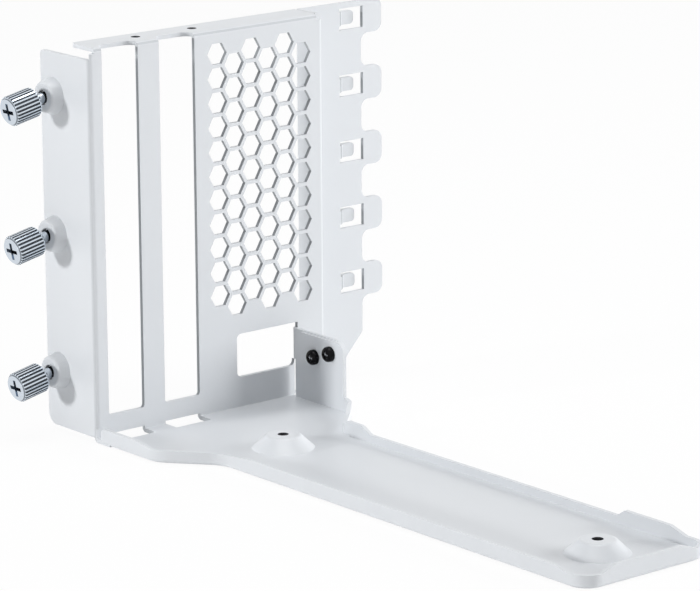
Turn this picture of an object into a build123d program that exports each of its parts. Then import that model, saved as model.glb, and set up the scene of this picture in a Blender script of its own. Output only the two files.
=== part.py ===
from build123d import *
import math
import os

# Vertical graphics card mount: one folded steel sheet, three captive
# thumbscrews and two tab screws. Millimetres, +Z up.
# X runs along the slotted panel, to the hooked edge on the right.
# -Y is the side where the card and the support arm are.
# The origin is where a card's bracket stands: midway between the two slots,
# on the panel's front face, on the tray's upper face.

# Sheet
sheet = 1.2
bend_inner = 0.2
bend_outer = bend_inner + sheet
fold_flat = 0.2

# Panel
panel_left = -21.15
panel_right = 64.35
panel_top = 114.3
panel_foot = bend_outer - sheet

# Card slots and their floor gaps
slot_pitch = 20.32
slot_count = 2
slot_width = 12.8
slot_foot = 6.35
slot_corner = 1.0
slot_notch_depth = 3.4
slot_notch_corner = 2.8
gap_depth = 5.3
gap_rise = 0.8

# Top flange with the bracket screw holes
flange_depth = 11.6
flange_left = panel_left + 2.1
flange_corner = 2.0
flange_end_gap = 0.2
corner_relief = 2.2
bracket_hole_radius = 1.4
bracket_hole_side = 4.35
bracket_hole_back = 6.8

# Left flange with the thumbscrew cones
side_depth = 23.4
side_drop = 3.2
side_top = panel_top - side_drop
side_head_corner = 1.2
side_foot_corner = 3.5
cone_pitch = 2 * slot_pitch
cone_first_drop = 16.0
cone_first_z = panel_top - cone_first_drop
cone_y = 17.8
cone_base_radius = 5.45
cone_top_radius = 4.5
cone_height = 3.5
cone_round = 0.9
cone_hole_radius = 2.15
cone_foot_clearance = 3.0

# Honeycomb vent
vent_columns = 6
vent_pitch = 7.22
vent_web = 1.05
vent_first_x = 24.75
vent_first_drop = 7.1
vent_first_z = panel_top - vent_first_drop
vent_foot_clearance = 5.5

# Hooked rear section
hook_offset = flange_depth - sheet
hook_pitch = slot_pitch
hook_first_z = panel_top - slot_pitch / 4
hook_height = slot_pitch / 2
hook_root = 87.75
hook_tip = 95.75
hook_tip_radius = 2.8
hook_root_radius = 2.5
hook_foot_clearance = 5.0
foot_edge = 81.05
foot_step_low = 4.4
foot_step_high = 11.6
foot_radius = 2.5

# Spring tongues in the rear section's windows
tongue_window_left = 79.25
tongue_window_width = 9.2
tongue_window_height = 6.6
tongue_height = 4.1
tongue_length = 6.9
tongue_joggle = 1.8
tongue_ramp = 2.2
tongue_corner = 1.2

# Brace window and the tab lanced out of it
brace_left = 30.65
brace_face = 52.35
brace_foot = 9.1
brace_head = 22.3
brace_corner = 1.6
brace_tab_foot = 11.1
brace_tab_head = 20.6
brace_tab_length = 22.9
brace_tab_corner = 3.0
relief_width = 1.3
relief_foot = 0.9

# Tray
tray_left = panel_left
tray_right = brace_face
tray_end = -192.5
arm_left = -8.45
arm_right = 37.05
shoulder_start = -27.3
shoulder_end = -42.4
shoulder_radius = 10.0
arm_corner = 6.0
wall_start = -2.1
left_rim = 3.6
right_rim = 2.3
low_rim = 2.6
high_rim = 4.3
rim_bevel = 1.0

# Upright tab of the tray
upright_head = 20.4
upright_front = -24.4
upright_corner = 3.0
upright_foot = 4.2

# Bosses in the arm
boss_x = (arm_left + arm_right) / 2
boss_rear_y = -41.7
boss_spacing = 131.2
boss_base_radius = 9.1
boss_top_radius = 5.0
boss_height = 3.9
boss_round = 1.5
boss_hole_radius = 1.6

# Captive thumbscrews
thumb_head_radius = 4.4
thumb_head_length = 9.4
thumb_chamfer = 0.7
thumb_flutes = 26
thumb_flute_depth = 0.38
thumb_reach = 3.0
thumb_neck_radius = 1.15
thumb_neck_length = 0.8
thumb_shank_radius = 1.65
thumb_shank_length = 9.0
thumb_point = 0.7
thumb_droop = 12.0
thumb_drop = 0.15

# Tab screws
tab_screw_places = ((-10.9, 14.0), (-18.2, 16.4))
tab_screw_radius = 1.25
tab_screw_clearance = 0.05
tab_screw_length = 5.0
tab_head_radius = 2.3
tab_head_height = 1.95
tab_head_round = 1.2

# Cross recess of the screws
recess_depth = 1.0
recess_width = 0.62

# The cones, hooks and rows of the vent fill the height that the panel leaves them.
cone_count = 1 + math.floor((cone_first_z - cone_base_radius - cone_foot_clearance) / cone_pitch)
hook_count = 1 + math.floor(
    (hook_first_z - hook_height / 2 - hook_foot_clearance - foot_step_high) / hook_pitch)
vent_rows = 1 + math.floor(
    (vent_first_z - vent_pitch / 2 - vent_foot_clearance - brace_head) / vent_pitch)

slot_centres = [(i - (slot_count - 1) / 2) * slot_pitch for i in range(slot_count)]
cone_heights = [cone_first_z - i * cone_pitch for i in range(cone_count)]
hook_heights = [hook_first_z - i * hook_pitch for i in range(hook_count)]


def block(x_low, x_high, y_low, y_high, z_low, z_high):
    size = Box(x_high - x_low, y_high - y_low, z_high - z_low)
    return Pos((x_low + x_high) / 2, (y_low + y_high) / 2, (z_low + z_high) / 2) * size


def rounded(points, radii):
    # A closed outline whose corners take the radii given at the same places.
    face = make_face(Polyline(*points, close=True))
    for (x, y), radius in zip(points, radii):
        if radius > 0:
            corner = [v for v in face.vertices() if abs(v.X - x) < 1e-4 and abs(v.Y - y) < 1e-4]
            face = fillet(corner, radius)
    return face


def raise_up(face, z_low, z_high):
    return Pos(0, 0, z_low) * extrude(face, z_high - z_low, dir=(0, 0, 1))


def seen_from_front(face, y_low, y_high):
    # The outline's own axes become X and Z, and it is given depth along Y.
    return Pos(0, y_low, 0) * extrude(Plane.XZ * face, y_high - y_low, dir=(0, 1, 0))


def seen_from_side(face, x_low, x_high):
    # The outline's own axes become Y and Z, and it is given length along X.
    return Pos(x_low, 0, 0) * extrude(Plane.YZ * face, x_high - x_low, dir=(1, 0, 0))


def folded_walls():
    # Left flange, panel, return wall and the start of the rear section.
    left, right = panel_left, panel_right
    rear = hook_offset + sheet
    points = [
        (left, side_depth), (left, 0), (right, 0), (right, hook_offset),
        (right + 6, hook_offset), (right + 6, rear), (right - sheet, rear),
        (right - sheet, sheet), (left + sheet, sheet), (left + sheet, side_depth),
    ]
    radii = [0, bend_outer, bend_outer, bend_inner, 0, 0, bend_outer, bend_inner, bend_inner, 0]
    walls = raise_up(rounded(points, radii), panel_foot, panel_top)
    bend_start = panel_top - bend_outer - fold_flat
    walls -= block(left - 5, right - bend_outer, -5, side_depth + 5, bend_start, panel_top + 5)
    walls -= block(right - corner_relief, right + 1, -1, corner_relief, bend_start, panel_top + 5)
    # Above the flange's head the upright fold is cut off half way round.
    fold_x, fold_y = left + bend_outer, bend_outer
    reach = side_depth + 5
    beyond = [(fold_x, fold_y), (fold_x - reach, fold_y - reach), (fold_x - reach, reach), (fold_x, reach)]
    walls -= raise_up(make_face(Polyline(*beyond, close=True)), side_top, panel_top + 5)
    rear_corners = [
        e for e in walls.edges().filter_by(Axis.X)
        if abs(e.center().Y - side_depth) < 0.01
    ]
    foot, head = sorted(rear_corners, key=lambda e: e.center().Z)
    walls = fillet(foot, side_foot_corner)
    head = [
        e for e in walls.edges().filter_by(Axis.X)
        if abs(e.center().Y - side_depth) < 0.01 and abs(e.center().Z - side_top) < 0.01
    ]
    return fillet(head, side_head_corner)


def top_flange():
    bend_start = panel_top - bend_outer - fold_flat
    points = [
        (0, bend_start), (sheet, bend_start), (sheet, panel_top - sheet),
        (flange_depth, panel_top - sheet), (flange_depth, panel_top), (0, panel_top),
    ]
    profile = rounded(points, [0, 0, bend_inner, 0, 0, bend_outer])
    # Its end is stepped clear of the upright bend at the panel's right edge.
    end = panel_right - corner_relief
    flange = seen_from_side(profile, flange_left, end)
    corner = [
        e for e in flange.edges().filter_by(Axis.Z)
        if abs(e.center().X - flange_left) < 0.01 and abs(e.center().Y - flange_depth) < 0.01
    ]
    flange = fillet(corner, flange_corner)
    return flange + block(end, panel_right - sheet - flange_end_gap, corner_relief, flange_depth,
                          panel_top - sheet, panel_top)


def rear_section():
    start = panel_right + 3
    points = [(start, panel_foot), (foot_edge, panel_foot), (foot_edge, foot_step_low)]
    radii = [0, 0, foot_radius]
    points.append((hook_root, foot_step_high))
    radii.append(foot_radius)
    for z in reversed(hook_heights):
        points += [
            (hook_root, z - hook_height / 2), (hook_tip, z - hook_height / 2),
            (hook_tip, z + hook_height / 2), (hook_root, z + hook_height / 2),
        ]
        radii += [hook_root_radius, hook_tip_radius, hook_tip_radius, hook_root_radius]
    # The topmost hook runs level into the panel's top edge.
    points.pop()
    radii.pop()
    points.append((start, panel_top))
    radii.append(0)
    outline = rounded(points, radii)
    window_x = tongue_window_left + tongue_window_width / 2
    for z in hook_heights:
        outline -= Pos(window_x, z) * Rectangle(tongue_window_width, tongue_window_height)
    plate = seen_from_front(outline, hook_offset, hook_offset + sheet)
    for z in hook_heights:
        plate += tongue(z)
    return plate


def tongue(z):
    # A tongue joggled back from the window's left edge.
    x0 = tongue_window_left
    front = hook_offset
    lean = sheet * math.tan(math.atan2(tongue_joggle, tongue_ramp) / 2)
    points = [
        (x0 - 1, front), (x0 + 0.3, front), (x0 + 0.3 + tongue_ramp, front + tongue_joggle),
        (x0 + tongue_length, front + tongue_joggle), (x0 + tongue_length, front + tongue_joggle + sheet),
        (x0 + 0.3 + tongue_ramp - lean, front + tongue_joggle + sheet), (x0 + 0.3 - lean, front + sheet),
        (x0 - 1, front + sheet),
    ]
    face = make_face(Polyline(*points, close=True))
    solid = raise_up(face, z - tongue_height / 2, z + tongue_height / 2)
    ends = [e for e in solid.edges().filter_by(Axis.Y) if abs(e.center().X - x0 - tongue_length) < 0.01]
    return fillet(ends, tongue_corner)


def foot_bend():
    # The fold from the panel's foot into the tray's floor.
    points = [
        (0, 3), (sheet, 3), (sheet, -sheet), (-6, -sheet), (-6, 0), (0, 0),
    ]
    profile = rounded(points, [0, 0, bend_outer, 0, 0, bend_inner])
    return seen_from_side(profile, tray_left + 0.2, tray_right - 0.2)


def tray_outline():
    points = [
        (tray_left, -2), (tray_left, shoulder_start), (arm_left, shoulder_end), (arm_left, tray_end),
        (arm_right, tray_end), (arm_right, shoulder_end), (tray_right, shoulder_start), (tray_right, -2),
    ]
    radii = [0, shoulder_radius, shoulder_radius, arm_corner, arm_corner, shoulder_radius, shoulder_radius, 0]
    return rounded(points, radii)


def rim_cut(points, x_low, x_high):
    # What is taken off the walls above a rim line, given as (y, z) points.
    top = upright_head + 5
    line = list(points)
    closed = line + [(line[-1][0], top), (line[0][0], top)]
    return seen_from_side(make_face(Polyline(*closed, close=True)), x_low, x_high)


def tray():
    outline = tray_outline()
    outside = raise_up(outline, -sheet, upright_head)
    foot_edges = [
        e for e in outside.edges().group_by(Axis.Z)[0]
        if e.center().Y < -2.01
    ]
    outside = fillet(foot_edges, bend_outer)
    inner_outline = offset(outline, -sheet, kind=Kind.INTERSECTION)
    inside = raise_up(inner_outline, 0, upright_head + 5)
    inside += block(tray_left + sheet, tray_right - sheet, -10, 0, 0, upright_head + 5)
    inner_edges = [
        e for e in inside.edges().group_by(Axis.Z)[0]
        if e.center().Y < -2.01
    ]
    inside = fillet(inner_edges, bend_inner)
    body = outside - inside
    middle = (arm_left + arm_right) / 2
    left_line = [
        (1, left_rim - rim_bevel), (wall_start, left_rim - rim_bevel),
        (wall_start - rim_bevel, left_rim), (-19.5, left_rim), (-26, low_rim), (-44, low_rim), (-56, left_rim),
        (-180.5, left_rim), (-185.2, low_rim), (-250, low_rim),
    ]
    right_line = [
        (upright_front, upright_foot), (-30, upright_foot), (-34, low_rim), (-41, low_rim),
        (-44.5, high_rim), (-50.6, high_rim), (-54.8, right_rim), (-157.4, right_rim),
        (-160.4, high_rim), (-177.6, high_rim), (-183.5, low_rim), (-250, low_rim),
    ]
    body -= rim_cut(left_line, tray_left - 5, middle)
    body -= rim_cut(right_line, middle, tray_right + 5)
    # The front rim stands higher between its two corners.
    rise = high_rim - low_rim
    front_left, front_right = arm_left + arm_corner, arm_right - arm_corner
    front_line = [
        (front_left, 0), (front_left, low_rim), (front_left + 3 * rise, high_rim),
        (front_right - 3 * rise, high_rim), (front_right, low_rim), (front_right, 0),
    ]
    body += seen_from_front(make_face(Polyline(*front_line, close=True)), tray_end, tray_end + sheet)
    # The walls stop short of the panel.
    body -= block(tray_left - 5, tray_left + bend_outer, wall_start, 5, 0, upright_head + 5)
    body -= block(tray_right - bend_outer, tray_right + 5, wall_start, 5, 0, upright_head + 5)
    low = upright_foot + 1
    upright = rounded(
        [(upright_front, low), (wall_start, low), (wall_start, upright_head), (upright_front, upright_head)],
        [0, 0, upright_corner, upright_corner])
    middle_y = (upright_front + wall_start) / 2
    around = Pos(middle_y, low + 20) * Rectangle(wall_start - upright_front, 40) - upright
    body -= seen_from_side(around, middle, tray_right + 5)
    return body


def brace_tab():
    # Bent forward from the right edge of its own window.
    face = brace_face
    points = [
        (face, -brace_tab_length), (face + sheet, -brace_tab_length), (face + sheet, 0),
        (face + 4, 0), (face + 4, sheet), (face, sheet),
    ]
    profile = rounded(points, [0, 0, bend_inner, 0, 0, bend_outer])
    solid = raise_up(profile, brace_tab_foot, brace_tab_head)
    nose = [e for e in solid.edges().filter_by(Axis.X) if abs(e.center().Y + brace_tab_length) < 0.01]
    return fillet(nose, brace_tab_corner)


def slot_cuts():
    cuts = []
    for x in slot_centres:
        low, high = x - slot_width / 2, x + slot_width / 2
        points = [(low, slot_foot), (high, slot_foot), (high, panel_top + 5), (low, panel_top + 5)]
        cuts.append(seen_from_front(rounded(points, [slot_corner, slot_corner, 0, 0]), -1, sheet + bend_inner))
        points = [(low, -1), (high, -1), (high, slot_notch_depth), (low, slot_notch_depth)]
        notch = rounded(points, [0, 0, slot_notch_corner, slot_notch_corner])
        cuts.append(raise_up(notch, panel_top - bend_outer - 1, panel_top + 5))
        cuts.append(block(low, high, -gap_depth, sheet + 1, -sheet - 1, gap_rise))
    return cuts


def vent_cuts():
    apothem = (vent_pitch - vent_web) / 2
    cells = Sketch()
    for column in range(vent_columns):
        drop = vent_pitch / 2 if column % 2 else 0
        for row in range(vent_rows):
            x = vent_first_x + column * vent_pitch * math.sqrt(3) / 2
            z = vent_first_z - row * vent_pitch - drop
            cells += Pos(x, z) * RegularPolygon(apothem, 6, major_radius=False)
    return seen_from_front(cells, -1, sheet + 1)


def brace_cuts():
    right = brace_face + bend_outer
    points = [
        (brace_left, brace_foot), (brace_face, brace_foot), (brace_face, brace_head), (brace_left, brace_head),
    ]
    window = rounded(points, [brace_corner] * 4)
    window += Pos((brace_face + right) / 2 - 1, (brace_tab_foot + brace_head) / 2) * Rectangle(
        right - brace_face + 2, brace_head - brace_tab_foot)
    slit_height = brace_tab_foot - relief_foot + 0.5
    window += Pos(right - relief_width / 2, relief_foot + slit_height / 2) * Rectangle(relief_width, slit_height)
    return seen_from_front(window, -1, sheet + 1)


def embossed_cone(base, top, height, hole, round_off):
    # A hollow cone raised from the sheet, standing on Z = 0.
    wall = sheet * 0.85
    outer = [
        (hole, height), (top, height), (base, 0), (base, -sheet),
        (base - wall, -sheet), (top - wall, height - sheet), (hole, height - sheet),
    ]
    radii = [0, round_off, 0, 0, 0, 0, 0]
    face = Rot(90, 0, 0) * rounded(outer, radii)
    return revolve(face, Axis.Z)


def folded_sheet():
    body = folded_walls() + top_flange() + rear_section() + foot_bend() + tray()
    for cut in slot_cuts() + [vent_cuts(), brace_cuts()]:
        body -= cut
    body += brace_tab()
    for x in slot_centres:
        place = Pos(x + slot_width / 2 + bracket_hole_side, bracket_hole_back, panel_top)
        body -= place * Cylinder(bracket_hole_radius, 4 * sheet)
    cone = embossed_cone(cone_base_radius, cone_top_radius, cone_height, cone_hole_radius, cone_round)
    for z in cone_heights:
        place = Pos(panel_left, cone_y, z) * Rot(0, -90, 0)
        body -= place * Cylinder(cone_base_radius - sheet * 0.85, 4 * sheet)
        body += place * cone
    boss = embossed_cone(boss_base_radius, boss_top_radius, boss_height, boss_hole_radius, boss_round)
    for y in (boss_rear_y, boss_rear_y - boss_spacing):
        place = Pos(boss_x, y, 0)
        body -= place * Cylinder(boss_base_radius - sheet * 0.85, 4 * sheet)
        body += place * boss
    for y, z in tab_screw_places:
        place = Pos(brace_face, y, z) * Rot(0, 90, 0)
        body -= place * Cylinder(tab_screw_radius + tab_screw_clearance, 4 * sheet)
    return body


def cross_recess(width, span, depth):
    # A cross cut down from Z = 0, tapering to its floor.
    bars = Rectangle(span, width) + Rectangle(width, span)
    return extrude(bars, -depth, taper=8)


def thumbscrew():
    # The head's face points along +Z from the seat on the cone, which is Z = 0.
    head_foot = thumb_reach
    head_top = head_foot + thumb_head_length
    head = Pos(0, 0, head_foot + thumb_head_length / 2) * Cylinder(thumb_head_radius, thumb_head_length)
    head = chamfer(head.edges().filter_by(GeomType.CIRCLE), thumb_chamfer)
    flute_radius = math.pi * thumb_head_radius / thumb_flutes * 0.6
    flute_reach = thumb_head_radius + flute_radius - thumb_flute_depth
    flutes = Sketch() + PolarLocations(flute_reach, thumb_flutes) * Circle(flute_radius)
    head -= Pos(0, 0, head_foot - 1) * extrude(flutes, thumb_head_length + 2)
    head -= Pos(0, 0, head_top) * cross_recess(recess_width * 1.8, thumb_head_radius * 1.15, recess_depth * 2)
    shank_top = head_foot - thumb_neck_length
    neck = Pos(0, 0, head_foot - thumb_neck_length / 2) * Cylinder(thumb_neck_radius, thumb_neck_length + 0.4)
    shank = Cylinder(thumb_shank_radius, thumb_shank_length)
    shank = chamfer(shank.edges().group_by(Axis.Z)[0], thumb_point)
    return head + neck + Pos(0, 0, shank_top - thumb_shank_length / 2) * shank


def tab_screw():
    # The head bears on Z = 0 and its face points along +Z.
    head = Pos(0, 0, tab_head_height / 2) * Cylinder(tab_head_radius, tab_head_height)
    head = fillet(head.edges().group_by(Axis.Z)[-1], tab_head_round)
    head -= Pos(0, 0, tab_head_height) * cross_recess(recess_width, tab_head_radius * 1.1, recess_depth)
    shank = Pos(0, 0, -tab_screw_length / 2) * Cylinder(tab_screw_radius, tab_screw_length)
    return head + chamfer(shank.edges().group_by(Axis.Z)[0], 0.3)


def main():
    os.makedirs("parts", exist_ok=True)
    pieces = {"folded_sheet": folded_sheet()}
    screw = thumbscrew()
    for name, z in zip(("top", "middle", "bottom"), cone_heights):
        seat = Pos(panel_left - cone_height, cone_y, z - thumb_drop)
        pieces["thumbscrew_" + name] = seat * Rot(0, -90 - thumb_droop, 0) * screw
    screw = tab_screw()
    for name, (y, z) in zip(("rear", "front"), tab_screw_places):
        pieces["tab_screw_" + name] = Pos(brace_face - sheet, y, z) * Rot(0, -90, 0) * screw
    for name, piece in pieces.items():
        export_step(piece, os.path.join("parts", name + ".step"))


main()
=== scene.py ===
import math

import bpy
from mathutils import Matrix, Vector


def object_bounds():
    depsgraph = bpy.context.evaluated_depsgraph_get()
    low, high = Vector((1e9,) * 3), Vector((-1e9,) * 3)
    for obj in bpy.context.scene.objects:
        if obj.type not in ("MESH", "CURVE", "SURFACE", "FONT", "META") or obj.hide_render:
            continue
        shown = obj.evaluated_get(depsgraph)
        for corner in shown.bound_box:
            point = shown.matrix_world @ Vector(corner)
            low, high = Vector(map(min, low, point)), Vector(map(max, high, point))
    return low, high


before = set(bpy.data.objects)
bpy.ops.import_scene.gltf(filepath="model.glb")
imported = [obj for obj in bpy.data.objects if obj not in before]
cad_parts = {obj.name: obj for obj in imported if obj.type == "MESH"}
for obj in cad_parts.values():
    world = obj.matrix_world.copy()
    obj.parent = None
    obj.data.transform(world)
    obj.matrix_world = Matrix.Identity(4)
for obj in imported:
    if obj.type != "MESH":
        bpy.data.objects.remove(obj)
cad_low, cad_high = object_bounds()
bpy.ops.object.select_all(action="DESELECT")

# The folded sheet
# One piece of steel sheet, punched, pressed and folded: slotted panel, flanges,
# hooked rear section and tray. It is powder coated white all over, edges too.


class Wire:
    """The output of a node. Arithmetic on it adds Math nodes."""

    def __init__(self, tree, socket):
        self.tree = tree
        self.socket = socket

    def __add__(self, other):
        return self.tree.math("ADD", self, other)

    __radd__ = __add__

    def __sub__(self, other):
        return self.tree.math("SUBTRACT", self, other)

    def __rsub__(self, other):
        return self.tree.math("SUBTRACT", other, self)

    def __mul__(self, other):
        return self.tree.math("MULTIPLY", self, other)

    __rmul__ = __mul__

    def near(self, centre, reach):
        """1 where the value lies within reach of centre, else 0."""
        settings = {"operation": "COMPARE"}
        return self.tree.node("ShaderNodeMath", settings, {0: self, 1: centre, 2: reach})


class Tree:
    """The nodes of a material or of the world."""

    def __init__(self, node_tree):
        self.nodes = node_tree.nodes
        self.links = node_tree.links

    def feed(self, socket, value):
        if isinstance(value, Wire):
            self.links.new(value.socket, socket)
        else:
            socket.default_value = value

    def node(self, kind, settings=None, inputs=None, output=0):
        made = self.nodes.new(kind)
        for name, value in (settings or {}).items():
            setattr(made, name, value)
        for name, value in (inputs or {}).items():
            self.feed(made.inputs[name], value)
        return Wire(self, made.outputs[output])

    def math(self, operation, first, second):
        return self.node("ShaderNodeMath", {"operation": operation}, {0: first, 1: second})

    def vector(self, operation, first, second, output="Vector"):
        settings = {"operation": operation}
        return self.node("ShaderNodeVectorMath", settings, {0: first, 1: second}, output)

    def blend(self, factor, first, second):
        """The first colour where the factor is 0 and the second where it is 1."""
        inputs = {"Factor": factor, "A": first, "B": second}
        return self.node("ShaderNodeMix", {"data_type": "RGBA"}, inputs, "Result")

    def noise(self, place, scale, detail):
        return self.node("ShaderNodeTexNoise", None, {"Vector": place, "Scale": scale, "Detail": detail})

    def in_millimetres(self, place):
        settings = {"operation": "SCALE"}
        return self.node("ShaderNodeVectorMath", settings, {"Vector": place, "Scale": 1000.0})


class Finish(Tree):
    """A material, built from its nodes."""

    def __init__(self, name):
        self.material = bpy.data.materials.new(name)
        self.material.use_nodes = True
        super().__init__(self.material.node_tree)
        self.surface = self.nodes["Principled BSDF"]

    def set(self, sockets):
        for name, value in sockets.items():
            self.feed(self.surface.inputs[name], value)

    def cover(self, piece):
        piece.data.materials.clear()
        piece.data.materials.append(self.material)


paint = Finish("white_powder_coat")
place = paint.node("ShaderNodeTexCoord", output="Object")
peel = paint.noise(place, 900.0, 2.0)
grit = paint.noise(place, 3200.0, 1.0)
cloud = paint.noise(place, 35.0, 3.0)
millimetres = paint.in_millimetres(place)
x = paint.node("ShaderNodeSeparateXYZ", None, {"Vector": millimetres}, "X")
y = paint.node("ShaderNodeSeparateXYZ", None, {"Vector": millimetres}, "Y")
z = paint.node("ShaderNodeSeparateXYZ", None, {"Vector": millimetres}, "Z")
coat = paint.blend(cloud, (0.70, 0.722, 0.748, 1), (0.73, 0.75, 0.774, 1))

# Painted shade greys the punched edges of the panel and hooks. Edges that face up are left pale,
# as if lit from above. Places are in millimetres.
panel_middle = 0.6
rear_middle = 11.0
inside_sheet = 0.54
panel_edges = y.near(panel_middle, inside_sheet) * x.near(21.6, 41.2) * z.near(58.0, 54.8)
hook_edges = y.near(rear_middle, inside_sheet) * x.near(82.0, 15.0)
facing = paint.node("ShaderNodeNewGeometry", output="Normal")
facing_up = paint.node("ShaderNodeSeparateXYZ", None, {"Vector": facing}, "Z")
painted_edge_shade = (panel_edges + hook_edges) * facing_up.near(-0.3, 1.2)

# Painted shade: a fine grey line is painted along each of the two long folds.
seen_from_above = paint.vector("MULTIPLY", millimetres, (1, 1, 0))
seen_from_side = paint.vector("MULTIPLY", millimetres, (0, 1, 1))
from_left_fold = paint.vector("DISTANCE", seen_from_above, (-20.95, 0.65, 0), "Value")
from_top_fold = paint.vector("DISTANCE", seen_from_side, (0, 0.2, 113.65), "Value")
painted_edge_shade = painted_edge_shade + 0.22 * from_left_fold.near(0, 0.42) + 0.45 * from_top_fold.near(0, 0.36)
coat_with_painted_shade = paint.blend(0.8 * painted_edge_shade, coat, (0.30, 0.32, 0.34, 1))

# The tapped holes of the top flange and of the tray's bosses are bare, dark thread.
half_thread = 0.58
thread_and_painted_hole_shade = 0.0
for hole_x, hole_y, thread_z, reach in (
    (0.59, 6.8, 113.7, 1.45),
    (20.91, 6.8, 113.7, 1.45),
    (14.3, -41.7, 3.3, 1.65),
    (14.3, -172.9, 3.3, 1.65),
):
    from_hole = paint.vector("DISTANCE", seen_from_above, (hole_x, hole_y, 0), "Value")
    thread_and_painted_hole_shade = thread_and_painted_hole_shade + from_hole.near(0, reach) * z.near(thread_z, half_thread)

# Painted shade: the insides of the cones are painted dark, as little light reaches them through their
# holes.
cone_y = 17.8
hole_reach = 2.2
for cone_z in (98.3, 57.66, 17.02):
    from_cone = paint.vector("DISTANCE", seen_from_side, (0, cone_y, cone_z), "Value")
    thread_and_painted_hole_shade = thread_and_painted_hole_shade + 0.85 * from_cone.near(0, hole_reach) * x.near(-23.0, 3.0)

orange_peel = {"Strength": 0.25, "Distance": 0.00006, "Height": peel + 0.35 * grit}
paint.set({
    "Base Color": paint.blend(thread_and_painted_hole_shade, coat_with_painted_shade, (0.03, 0.03, 0.035, 1)),
    "Roughness": 0.34 + 0.08 * (grit - 0.5) + 0.05 * (cloud - 0.5),
    "Normal": paint.node("ShaderNodeBump", None, orange_peel),
})
paint.cover(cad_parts["folded_sheet"])

# The three captive thumbscrews
# Turned steel, bright plated. The head is fluted, with an undercut behind it that is painted dark for
# its shade, and the bare shank hangs loosely in the hole of its cone.

seat_x = -24.65
droop = math.radians(12)
outwards = (-math.cos(droop), 0, -math.sin(droop))
for name, seat_z in (
    ("thumbscrew_top", 98.15),
    ("thumbscrew_middle", 57.51),
    ("thumbscrew_bottom", 16.87),
):
    plating = Finish(name + "_plating")
    place = plating.node("ShaderNodeTexCoord", output="Object")
    bloom = plating.noise(place, 420.0, 4.0)
    from_seat = plating.vector("SUBTRACT", plating.in_millimetres(place), (seat_x, cone_y, seat_z))
    along = plating.vector("DOT_PRODUCT", from_seat, outwards, "Value")
    distance = plating.node("ShaderNodeVectorMath", {"operation": "LENGTH"}, {0: from_seat}, "Value")
    radius_squared = distance * distance - along * along
    radius = plating.node("ShaderNodeMath", {"operation": "SQRT"}, {0: radius_squared})
    # Painted shade darkens the flutes, the undercut, the cross recess and a thin ring on the front
    # chamfer.
    # Each is a band, in millimetres from the screw's axis and along it from the seat.
    flutes = radius.near(3.98, 0.34) * along.near(7.7, 4.05)
    shank = radius.near(1.6, 0.2) * along.near(1.1, 0.9)
    undercut = radius.near(0.6, 1.1) * along.near(1.0, 2.1) * (1.0 - 0.75 * shank)
    recess = 0.75 * radius.near(0.4, 1.1) * along.near(11.0, 1.3)
    rim = 0.7 * radius.near(3.95, 0.14) * along.near(12.1, 0.5)
    painted_shade = 0.93 * (flutes + undercut + recess + rim)
    plating.set({
        "Base Color": plating.blend(painted_shade, (0.64, 0.70, 0.77, 1), (0.02, 0.027, 0.035, 1)),
        "Metallic": 1.0,
        "Roughness": 0.13 + 0.12 * bloom,
    })
    plating.cover(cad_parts[name])

# The two tab screws
# Small black cross-head screws that hold the upright tab to the tab bent out of the panel.
# Their recesses are painted as bright metal, a painted glint.

recess_x = 50.6
recess_reach = 1.3
for name, screw_y, screw_z in (
    ("tab_screw_rear", -10.9, 14.0),
    ("tab_screw_front", -18.2, 16.4),
):
    blacking = Finish(name + "_blacking")
    place = blacking.node("ShaderNodeTexCoord", output="Object")
    bloom = blacking.noise(place, 900.0, 3.0)
    recess_middle = (recess_x, screw_y, screw_z)
    away = blacking.vector("DISTANCE", blacking.in_millimetres(place), recess_middle, "Value")
    # Painted glint: the recess is bright metal, where the rest is black.
    painted_glint = away.near(0.0, recess_reach)
    blacking.set({
        "Base Color": blacking.blend(painted_glint, (0.003, 0.003, 0.004, 1), (0.85, 0.86, 0.88, 1)),
        "Metallic": painted_glint,
        "Roughness": 0.14 + 0.12 * bloom,
        "IOR": 1.2,
    })
    blacking.cover(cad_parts[name])

# The floor and the studio
# A white sheet under the part, with its soft shadow. The camera and
# bright metal see plain white beyond it.


def seen(tree):
    """1 for what the camera sees, by itself or in metal and glass, and 0 for other light."""
    return (
        tree.node("ShaderNodeLightPath", output="Is Camera Ray")
        + tree.node("ShaderNodeLightPath", output="Is Glossy Ray")
        + tree.node("ShaderNodeLightPath", output="Is Transmission Ray")
    )


floor_clearance = 0.0002
bpy.ops.mesh.primitive_plane_add(size=8, location=(0, 0, cad_low.z - floor_clearance))
floor = bpy.context.object
floor.name = "floor"
paper = Finish("floor_paper")
paper.set({"Base Color": (0.95, 0.95, 0.95, 1), "Roughness": 0.9})
lit = Wire(paper, paper.surface.outputs[0])
white = paper.node("ShaderNodeEmission", None, {"Color": (1, 1, 1, 1), "Strength": 1.0})
# Most of what is seen is plain white. The rest is lit paper, which keeps the part's shadow.
whiteness = 0.94
mixed = paper.node("ShaderNodeMixShader", None, {0: whiteness * seen(paper), 1: lit, 2: white})
paper.feed(paper.nodes["Material Output"].inputs["Surface"], mixed)
paper.cover(floor)

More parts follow.
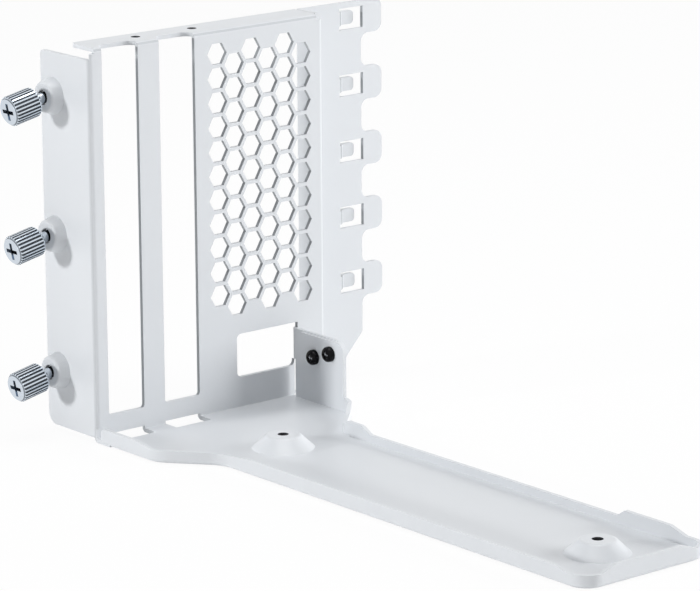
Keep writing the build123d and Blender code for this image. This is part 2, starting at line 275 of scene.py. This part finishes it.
world = bpy.data.worlds.new("studio")
bpy.context.scene.world = world
world.use_nodes = True
air = Tree(world.node_tree)
ambient = air.node("ShaderNodeBackground", None, {"Color": (0.93, 0.96, 1.0, 1), "Strength": 0.15})
plain = air.node("ShaderNodeBackground", None, {"Color": (1, 1, 1, 1), "Strength": 1.0})
either = air.node("ShaderNodeMixShader", None, {0: seen(air), 1: ambient, 2: plain})
air.feed(air.nodes["World Output"].inputs["Surface"], either)

# A small lamp on the left, a little behind, throws the screws' sharp shadows.
# The others are large and soft.
aim = Vector((0.02, -0.06, 0.05))
for name, location, lamp_size, power in (
    ("left", (-1.215, 0.286, 0.26), 0.12, 8.4),
    ("left_front", (-1.08, -0.71, 0.30), 0.6, 0.6),
    ("right", (1.20, -0.90, 0.30), 0.9, 22.5),
    ("top", (0.0, -0.05, 1.25), 0.8, 8.5),
):
    light = bpy.data.lights.new(name, "AREA")
    light.shape = "SQUARE"
    light.size = lamp_size
    light.energy = power
    lamp = bpy.data.objects.new(name, light)
    bpy.context.scene.collection.objects.link(lamp)
    lamp.location = location
    lamp.rotation_mode = "QUATERNION"
    lamp.rotation_quaternion = (Vector(location) - aim).to_track_quat("Z", "Y")
    # The two strong lamps would glare white off the flat tray in views against the light.
    lamp.visible_glossy = name not in ("left", "right")

# The camera
# It stands in front of the panel, to its left and a little above, with a long lens.

azimuth = math.radians(-39.717)
elevation = math.radians(14.114)
roll = math.radians(-0.374)
back = Vector((
    math.sin(azimuth) * math.cos(elevation),
    -math.cos(azimuth) * math.cos(elevation),
    math.sin(elevation),
))
level = Vector((math.cos(azimuth), math.sin(azimuth), 0))
upright = back.cross(level)
image_right = math.cos(roll) * level + math.sin(roll) * upright
image_up = math.cos(roll) * upright - math.sin(roll) * level
panel_foot = Vector((-0.02112, 0, -0.00025))
right_of_foot = 0.073021
above_foot = 0.041715
camera_distance = 1.165355
lens = bpy.data.cameras.new("camera")
lens.sensor_width = 36
lens.lens = 207.63
lens.clip_start = 0.05
lens.clip_end = 20
camera = bpy.data.objects.new("camera", lens)
bpy.context.scene.collection.objects.link(camera)
camera.matrix_world = Matrix((image_right, image_up, back)).transposed().to_4x4()
camera.location = (
    panel_foot + right_of_foot * image_right + above_foot * image_up + camera_distance * back
)
bpy.context.scene.camera = camera

bpy.context.scene.view_settings.view_transform = "Standard"
